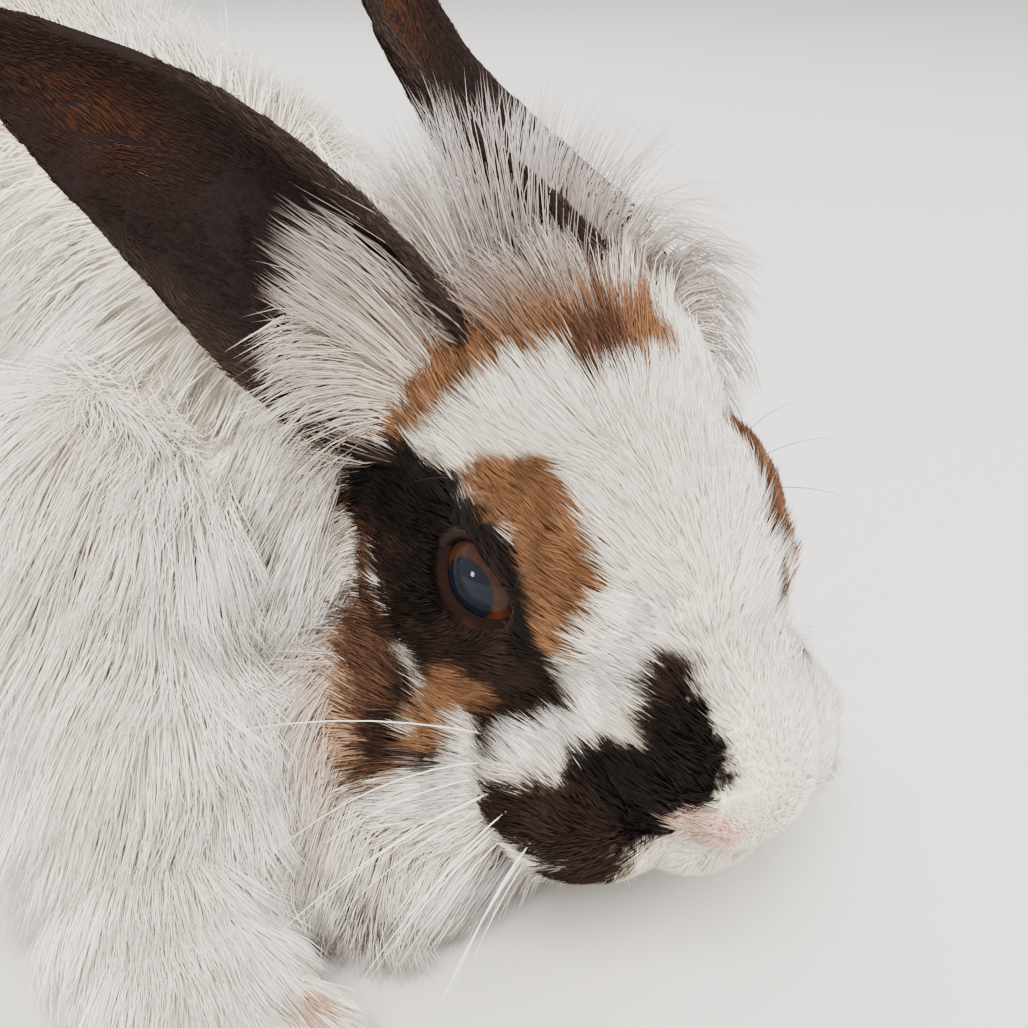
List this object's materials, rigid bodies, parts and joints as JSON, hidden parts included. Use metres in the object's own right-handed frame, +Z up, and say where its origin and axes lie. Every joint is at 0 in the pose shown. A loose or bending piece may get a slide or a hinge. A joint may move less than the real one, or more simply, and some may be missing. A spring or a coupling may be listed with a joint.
{
  "type": "lionhead rabbit model",
  "caption": "Life-size still model of a lionhead rabbit crouching with its head low, with a wool mane round the face and a white and dark brown coat.",
  "frame": {"origin": "middle of the overall footprint, at the floor", "axes": "+Z up; the rabbit faces -Y, its tail is at +Y, its left side is at +X"},
  "size_m": [0.1624, 0.3376, 0.1546],
  "materials": {
    "white_fur": "matte",
    "dark_fur": "matte",
    "eye_gloss": "gloss"
  },
  "bodies": {
    "root": {"ear_left": "dark_fur", "ear_right": "dark_fur", "eye_left": "eye_gloss", "eye_right": "eye_gloss", "foreleg_left": "white_fur", "foreleg_right": "white_fur", "forepaw_left": "white_fur", "forepaw_right": "white_fur", "head": "white_fur", "hindfoot_left": "white_fur", "hindfoot_right": "white_fur", "hindleg_left": "white_fur", "hindleg_right": "white_fur", "neck": "white_fur", "tail": "white_fur", "torso": "white_fur"}
  },
  "joints": []
}
